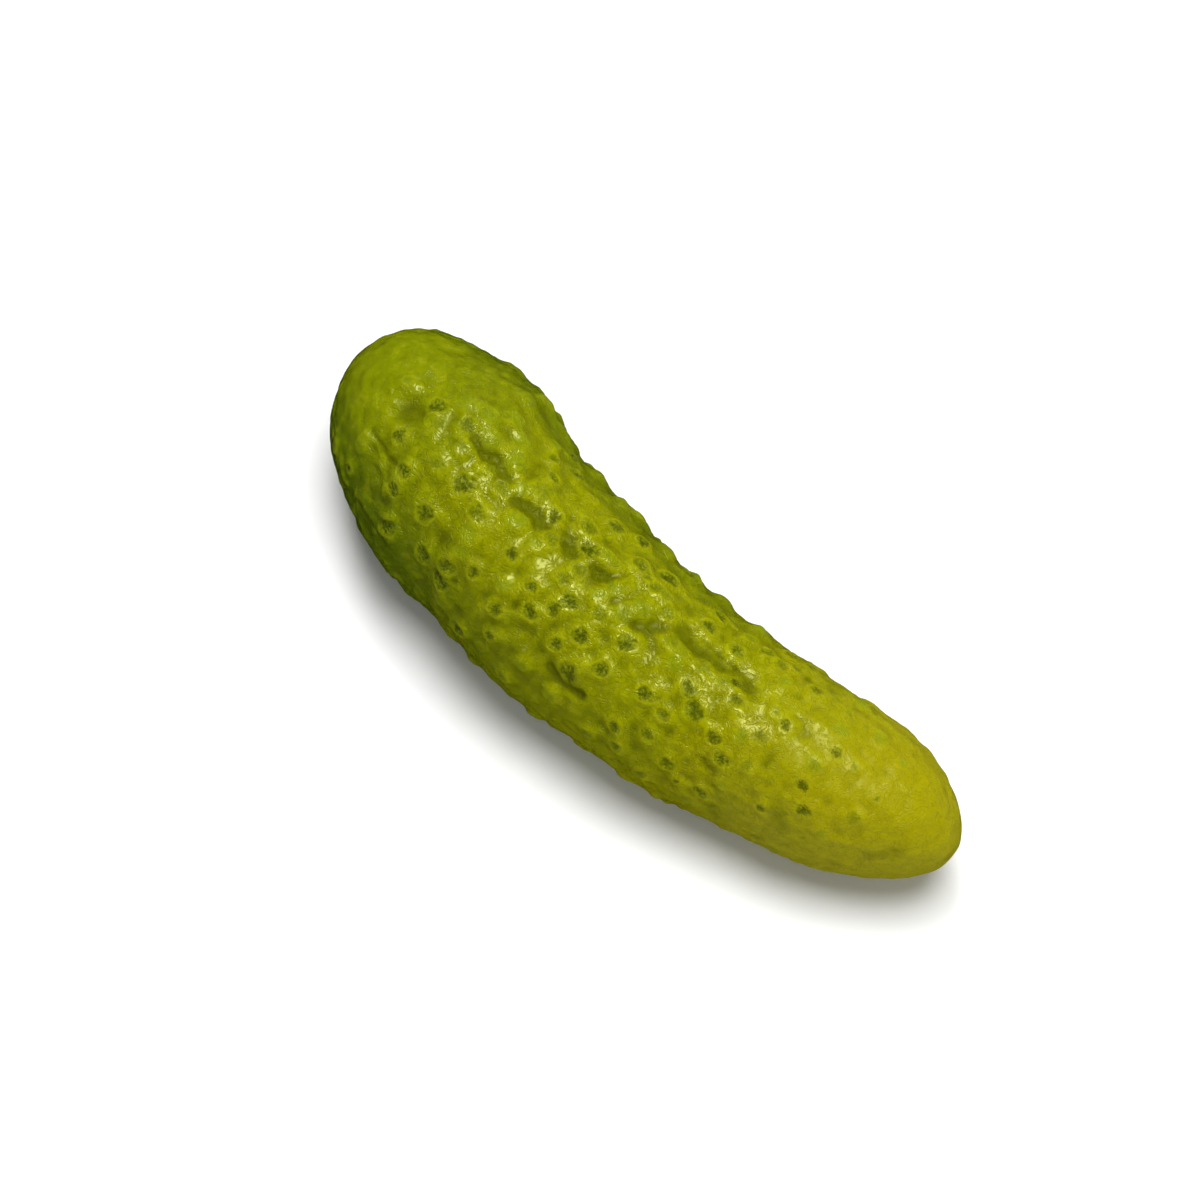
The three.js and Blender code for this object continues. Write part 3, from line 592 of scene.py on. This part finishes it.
# The look of the skin. Where two levels stand together, something starts to show at the first of them and
# shows in full at the second.
skinLook = {
    "stemGreen": paint(118, 129, 2),
    "middleGreen": paint(138, 142, 0),
    "blossomYellow": paint(151, 145, 0),
    # The flank green: the skin's own darker green, and painted shade on the low flank and along the high rim.
    "flankGreenAndShade": paint(72, 95, 2),
    # Dark green: the skin's own in the mottled spots and speckles, and painted shade in the hollows and
    # creases.
    "shadeAndSpotGreen": paint(84, 89, 0),
    # Pale green: the skin's own in the mottled pale spots, and painted light on the crests.
    "paleSpotAndLitGreen": paint(166, 170, 12),
    "pitDark": paint(38, 54, 0),
    "pitPale": paint(136, 146, 24),
    # A pale ring round the pits: partly the skin's own paler tone, partly a painted highlight on the pit's
    # rim.
    "ringPaleAndHighlight": paint(174, 180, 50),
    "domeGreen": paint(126, 140, 12),
    "stain": paint(78, 84, 4),
    # Noises: features per millimetre, detail, roughness and distortion.
    "patchNoise": (0.09, 2),
    "mottleNoise": (0.5, 4, 0.6),
    "fineNoise": (3.0, 3, 0.6, 0.5),
    "crinkleNoise": (0.9, 3, 0.6, 1.0),
    # Levels along the body, from 0 at the stem end to 1 at the blossom end.
    "middleFrom": (0.05, 0.4),
    "yellowFrom": (0.55, 0.92),
    "stemHalfTo": (0.15, 0.65),
    "rimTo": (0.5, 0.75),
    "smoothFrom": (0.66, 0.84),
    "wrinkledFrom": (0.04, 0.2),
    "patchShift": 0.3,          # how far the patches move the first three of them
    # Levels from the line of sight, at 0, down the low flank and up the high one.
    "lowFlankFrom": (0.2, 0.9),
    "rimFrom": (0.8, 1.0),
    "flankShift": 0.5,
    # Levels of the noises, then heights of the relief in millimetres.
    "valleySpots": (0.48, 0.7),
    "crestSpots": (0.5, 0.7),
    "speckles": (0.5, 0.7),
    "hollows": (0.0, 0.47),
    "crests": (0.02, 0.3),
    # How strongly each colour is mixed in.
    "lowFlankShare": 0.8,
    "lowFlankLeast": 0.05,      # outside the stem half
    "rimShadeShare": 0.55,
    "spotShare": 0.32,
    "spotLoss": 0.22,           # at the blossom end
    "speckleShare": 0.2,
    "stainShare": 0.6,
    "hollowShadeShare": 0.85,
    "litCrestShare": 0.22,
    "domeShare": 0.6,
    "ringHighlightShare": 0.12,
    "pitShare": 0.65,
    "coreShare": 0.4,
    # Pits: distances from the middle in pit radii, levels of depth, and the rays that run outward.
    "pitEdge": (0.6, 1.1),
    "coreEdge": (0.1, 0.75),
    "ringStart": (0.95, 1.1),
    "ringEnd": (1.15, 1.35),
    "domeEdge": (0.5, 1.4),
    "pitDepths": (0.2, 0.8),
    "ringDepths": (0.3, 0.5),
    "domeDepths": (0.2, 0.6),
    "ringMottle": (0.4, 0.6),
    "pitOverlap": 0.15,         # how far a pit's colour may reach into its neighbour's
    "rayScale": 1.9,
    "rayDetail": 2,
    "rayPerPit": 3.7,           # steps through the noise from pit to pit, and outward in one pit
    "rayOutward": 1.4,
    "edgeMoves": {"rays": 0.5, "mottle": 0.6, "fine": 0.3},
    "streakParts": {"rays": 0.5, "mottle": 0.2, "fine": 0.3},
    "streaks": (0.42, 0.62),
    # Bumps: heights in metres, and how much of the wrinkles is left at the ends.
    "crinkle": 0.00009,
    "crease": 0.00007,
    "creaseWidth": 0.07,
    "grain": 0.00003,
    "pitBump": 0.00018,
    "pitSlope": 0.4,
    "wrinkleLeast": 0.2,
    "wrinkleLoss": 0.6,
    # The two finishes: wet skin, and the dull one in pits, in hollows and partly at the blossom end.
    "wetRoughness": 0.1,
    "wetRoughnessByFine": 0.12,
    "wetRoughnessAtEnd": 0.17,
    "wetIor": 1.5,
    "wetTint": (1, 1, 0.45, 1),
    "dullRoughness": 0.5,
    "dullIor": 1.1,
    "dullInPits": 0.8,
    "dullInHollows": 0.85,
    "dullAtEnd": 0.5,
    "fleshShare": 0.15,         # how much light goes into the flesh, and how far
    "fleshReach": 0.0012,
    "fleshColours": (1.0, 0.9, 0.1),
}


# What all of the look reads: the fields of the mesh, noises over the place in millimetres, and two steps.
def readSkin(tree):
    inMetres = addNode(tree, "ShaderNodeTexCoord", {}, {}, 3)
    place = addNode(tree, "ShaderNodeMapping", {}, {"Vector": inMetres, "Scale": (1 / mm, 1 / mm, 1 / mm)})

    def field(name, output=2):  # output 1 is a vector, and 2 a number
        return addNode(tree, "ShaderNodeAttribute", {"attribute_name": name}, {}, output)

    def noise(perMm, detail, roughness=0.5, distortion=0.0):
        sockets = {"Vector": place, "Scale": perMm, "Detail": detail}
        sockets |= {"Roughness": roughness, "Distortion": distortion}
        return addNode(tree, "ShaderNodeTexNoise", {}, sockets)

    skin = {"inPit": field("inPit", 1)}
    for name in ("alongBody", "flank", "hollow", "pitReach", "stain", "pitDepth", "pitSeed"):
        skin[name] = field(name)
    for name in ("patch", "mottle", "fine", "crinkle"):
        skin[name] = noise(*skinLook[name + "Noise"])
    skin["smoothEnd"] = stepUp(tree, skin["alongBody"], *skinLook["smoothFrom"])
    # How deep a hollow is: it gets painted shade in the colour, and a duller finish.
    skin["low"] = stepUp(tree, skin["hollow"], *skinLook["hollows"])
    return skin


# The ground, each colour over the last: stem green, middle green and blossom yellow along the body, flank
# green on the low flank (partly the skin's own, partly painted shade) and painted shade on the high rim,
# spots, speckles, stains with some painted shade, painted shade in the hollows and creases, and painted light
# on the crests.
def makeGround(tree, skin):
    look = skinLook
    along, flank, mottle = skin["alongBody"], skin["flank"], skin["mottle"]
    patch = skin["patch"] - 0.5
    where = along + patch * look["patchShift"]
    middle = stepUp(tree, where, *look["middleFrom"])
    ground = mixColours(tree, middle, look["stemGreen"], look["middleGreen"])
    ground = mixColours(tree, stepUp(tree, where, *look["yellowFrom"]), ground, look["blossomYellow"])
    # Darker low flank in the stem half: partly the skin's own greener tone, partly painted shade on the side
    # turned from the light.
    lowFlank = stepUp(tree, 0 - flank + patch * look["flankShift"], *look["lowFlankFrom"])
    stemHalf = 1 - stepUp(tree, where, *look["stemHalfTo"])
    lowFlank = lowFlank * (stemHalf * look["lowFlankShare"] + look["lowFlankLeast"])
    ground = mixColours(tree, lowFlank, ground, look["flankGreenAndShade"])
    # Painted shade along the high rim, where the skin turns away toward the outline, fading out toward the
    # blossom end.
    rim = stepUp(tree, flank, *look["rimFrom"]) * (1 - stepUp(tree, along, *look["rimTo"]))
    ground = mixColours(tree, rim * look["rimShadeShare"], ground, look["flankGreenAndShade"])
    spots = look["spotShare"] - skin["smoothEnd"] * look["spotLoss"]
    ground = mixColours(tree, stepUp(tree, mottle, *look["valleySpots"]) * spots, ground, look["shadeAndSpotGreen"])
    ground = mixColours(tree, stepUp(tree, 1 - mottle, *look["crestSpots"]) * spots, ground, look["paleSpotAndLitGreen"])
    speckles = stepUp(tree, skin["fine"], *look["speckles"])
    ground = mixColours(tree, speckles * look["speckleShare"], ground, look["shadeAndSpotGreen"])
    # Stains, and painted shade in the hollow near the stem end and under the blossom tip.
    ground = mixColours(tree, skin["stain"] * look["stainShare"], ground, look["stain"])
    # Painted shade in the hollows and creases.
    ground = mixColours(tree, skin["low"] * look["hollowShadeShare"], ground, look["shadeAndSpotGreen"])
    # Painted light on the crests, where the skin stands higher than the skin round it.
    crests = stepUp(tree, 0 - skin["hollow"], *look["crests"])
    return mixColours(tree, crests * look["litCrestShare"], ground, look["paleSpotAndLitGreen"])


# The pits: rays are noise over the direction from a pit's middle, and ragged is the distance from it in pit
# radii, moved by the noises. Deep ones are dark with pale streaks, and shallow ones are smooth domes.
def makePits(tree, skin, ground):
    look = skinLook
    mottle, fine, depth = skin["mottle"], skin["fine"], skin["pitDepth"]

    def vectors(operation, output=0):
        return addNode(tree, "ShaderNodeVectorMath", {"operation": operation}, {0: skin["inPit"]}, output)

    share = addNode(tree, "ShaderNodeMath", {"operation": "MAXIMUM"}, {
        0: vectors("LENGTH", 1),
        1: skin["pitReach"] - look["pitOverlap"],
    })
    rays = addNode(tree, "ShaderNodeTexNoise", {"noise_dimensions": "4D"}, {
        "Vector": vectors("NORMALIZE"),
        "W": skin["pitSeed"] * look["rayPerPit"] + share * look["rayOutward"],
        "Scale": look["rayScale"],
        "Detail": look["rayDetail"],
    })
    moves = look["edgeMoves"]
    ragged = share + (rays - 0.5) * moves["rays"] + (mottle - 0.5) * moves["mottle"]
    ragged = ragged + (fine - 0.5) * moves["fine"]
    deep = stepUp(tree, depth, *look["pitDepths"])
    pit = (1 - stepUp(tree, ragged, *look["pitEdge"])) * deep
    core = (1 - stepUp(tree, ragged, *look["coreEdge"])) * deep
    # A pale ring just outside the pit: partly the skin's own paler tone, partly a painted highlight on the
    # pit's rim.
    ring = stepUp(tree, ragged, *look["ringStart"]) * (1 - stepUp(tree, ragged, *look["ringEnd"]))
    ring = ring * stepUp(tree, depth, *look["ringDepths"]) * stepUp(tree, mottle, *look["ringMottle"])
    dome = (1 - stepUp(tree, share, *look["domeEdge"])) * (1 - stepUp(tree, depth, *look["domeDepths"]))
    parts = look["streakParts"]
    streaks = rays * parts["rays"] + mottle * parts["mottle"] + fine * parts["fine"]
    streaks = stepUp(tree, streaks, *look["streaks"])
    streaked = mixColours(tree, streaks, look["pitDark"], look["pitPale"])
    colour = mixColours(tree, dome * look["domeShare"], ground, look["domeGreen"])
    # The pale ring, partly painted highlight.
    colour = mixColours(tree, ring * look["ringHighlightShare"], colour, look["ringPaleAndHighlight"])
    colour = mixColours(tree, pit * look["pitShare"], colour, streaked)
    colour = mixColours(tree, core * look["coreShare"], colour, look["pitDark"])
    return colour, pit, (rays - ragged * look["pitSlope"]) * pit


# Four bumps, one over the other: wrinkles, thin creases where the crinkling passes its middle value, grain,
# and the pits' raised streaks. The first three are calmer at both ends.
def makeNormal(tree, skin, pitRelief):
    look = skinLook
    crinkle = skin["crinkle"]
    wrinkled = stepUp(tree, skin["alongBody"], *look["wrinkledFrom"])
    wrinkled = wrinkled * (1 - skin["smoothEnd"] * look["wrinkleLoss"])
    wrinkled = wrinkled * (1 - look["wrinkleLeast"]) + look["wrinkleLeast"]
    fromMiddle = addNode(tree, "ShaderNodeMath", {"operation": "ABSOLUTE"}, {0: crinkle - 0.5})
    creases = stepUp(tree, fromMiddle, 0.0, look["creaseWidth"])
    bumps = [
        (crinkle * wrinkled, look["crinkle"]),
        (creases * wrinkled, look["crease"]),
        (skin["fine"] * wrinkled, look["grain"]),
        (pitRelief, look["pitBump"]),
    ]
    below = {}
    for height, distance in bumps:
        sockets = {"Strength": 1.0, "Distance": distance, "Height": height, **below}
        below = {"Normal": addNode(tree, "ShaderNodeBump", {}, sockets)}
    return below["Normal"]


# Wet skin and a dull finish, mixed by one minus the gloss that pits, hollows and the blossom end leave.
def makeSkinMaterial():
    material = bpy.data.materials.new("pickledSkin")
    material.use_nodes = True
    tree = material.node_tree
    tree.nodes.clear()
    look = skinLook
    skin = readSkin(tree)
    colour, pit, pitRelief = makePits(tree, skin, makeGround(tree, skin))
    flesh = {
        "Base Color": colour,
        "Normal": makeNormal(tree, skin, pitRelief),
        "Subsurface Weight": look["fleshShare"],
        "Subsurface Radius": look["fleshColours"],
        "Subsurface Scale": look["fleshReach"],
    }
    uneven = skin["fine"] * look["wetRoughnessByFine"] + skin["smoothEnd"] * look["wetRoughnessAtEnd"]
    wetSkin = addNode(tree, "ShaderNodeBsdfPrincipled", {"subsurface_method": "RANDOM_WALK"}, {
        **flesh,
        "Roughness": look["wetRoughness"] + uneven,
        "IOR": look["wetIor"],
        "Specular Tint": look["wetTint"],
    })
    dullPit = addNode(tree, "ShaderNodeBsdfPrincipled", {"subsurface_method": "RANDOM_WALK"}, {
        **flesh,
        "Roughness": look["dullRoughness"],
        "IOR": look["dullIor"],
    })
    gloss = (1 - pit * look["dullInPits"]) * (1 - skin["low"] * look["dullInHollows"])
    dull = 1 - gloss * (1 - skin["smoothEnd"] * look["dullAtEnd"])
    shader = addNode(tree, "ShaderNodeMixShader", {}, {0: dull, 1: wetSkin, 2: dullPit})
    addNode(tree, "ShaderNodeOutputMaterial", {}, {"Surface": shader})
    return material


# The floor is a plain pale sheet, just under the fruit. Sizes are in metres.
floorLook = {"reach": 3.0, "gap": 0.00005, "paint": (0.9, 0.9, 0.9, 1), "roughness": 0.9}


def makeFloor():
    mesh = bpy.data.meshes.new("floor")
    reach = floorLook["reach"]
    corners = [(-reach, -reach, 0), (reach, -reach, 0), (reach, reach, 0), (-reach, reach, 0)]
    mesh.from_pydata(corners, [], [(0, 1, 2, 3)])
    floor = bpy.data.objects.new("floor", mesh)
    floor.location.z = boxLow.z - floorLook["gap"]
    bpy.context.scene.collection.objects.link(floor)
    material = bpy.data.materials.new("paleFloor")
    material.use_nodes = True
    shader = material.node_tree.nodes["Principled BSDF"]
    shader.inputs["Base Color"].default_value = floorLook["paint"]
    shader.inputs["Roughness"].default_value = floorLook["roughness"]
    mesh.materials.append(material)
    floor.visible_glossy = False


# Turns a camera or a light until it looks at the target.
def pointAt(thing, target):
    thing.rotation_euler = (target - thing.location).to_track_quat("-Z", "Y").to_euler()


# The camera looks down on the fruit at the photograph's angle, with its line of sight at the same place.
cameraView = {
    "picture": 1200,               # pixels
    "pixelsPerMm": 7.97,
    "sightPixel": (22.3, 27.7),    # right of and below the picture's middle
    "sensor": 36,
    "clipStart": 0.01,
}


def makeCamera(sightPoint):
    metresPerPixel = mm / cameraView["pixelsPerMm"]
    distance = sight["distance"] * mm
    rightward, downward = cameraView["sightPixel"]
    target = sightPoint + Vector(up * downward - right * rightward) * metresPerPixel
    camera = bpy.data.cameras.new("camera")
    camera.sensor_width = cameraView["sensor"]
    camera.lens = cameraView["sensor"] * distance / (cameraView["picture"] * metresPerPixel)
    camera.clip_start = cameraView["clipStart"]
    holder = bpy.data.objects.new("camera", camera)
    holder.location = target + Vector(back) * distance
    pointAt(holder, target)
    bpy.context.scene.collection.objects.link(holder)
    bpy.context.scene.camera = holder


# Round lights: metres toward the viewer, up and right in the picture, width in metres, watts, and whether
# the wet skin mirrors them.
studio = {
    "keyLight": (0.75, 0.38, 0.1, 0.5, 6.7, True),
    "highLight": (0.72, 0.64, -0.05, 0.3, 1.6, True),
    "topLight": (0.3, 0.8, -0.15, 0.25, 1.7, False),
    "fillLight": (0.6, -0.6, 0.5, 0.5, 2.4, False),
}
worldStrength = 0.2


def makeLights():
    for name, (backward, upward, rightward, size, power, glossy) in studio.items():
        light = bpy.data.lights.new(name, "AREA")
        light.shape = "DISK"
        light.size = size
        light.energy = power
        holder = bpy.data.objects.new(name, light)
        holder.location = back * backward + up * upward + right * rightward
        holder.visible_glossy = glossy
        pointAt(holder, (boxLow + boxHigh) / 2)
        bpy.context.scene.collection.objects.link(holder)
    world = bpy.data.worlds.new("world")
    world.use_nodes = True
    background = world.node_tree.nodes["Background"]
    background.inputs["Color"].default_value = (1, 1, 1, 1)
    background.inputs["Strength"].default_value = worldStrength
    world.cycles_visibility.glossy = False
    bpy.context.scene.world = world


fruit, sightPoint = makeCucumber()
fruit.data.materials.append(makeSkinMaterial())
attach(fruit, "root")
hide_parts("cucumber")
print("cucumber made:", len(fruit.data.vertices), "points")

makeCamera(sightPoint)
makeLights()
makeFloor()
bpy.context.scene.view_settings.view_transform = "Standard"
print("camera, lights and floor made")
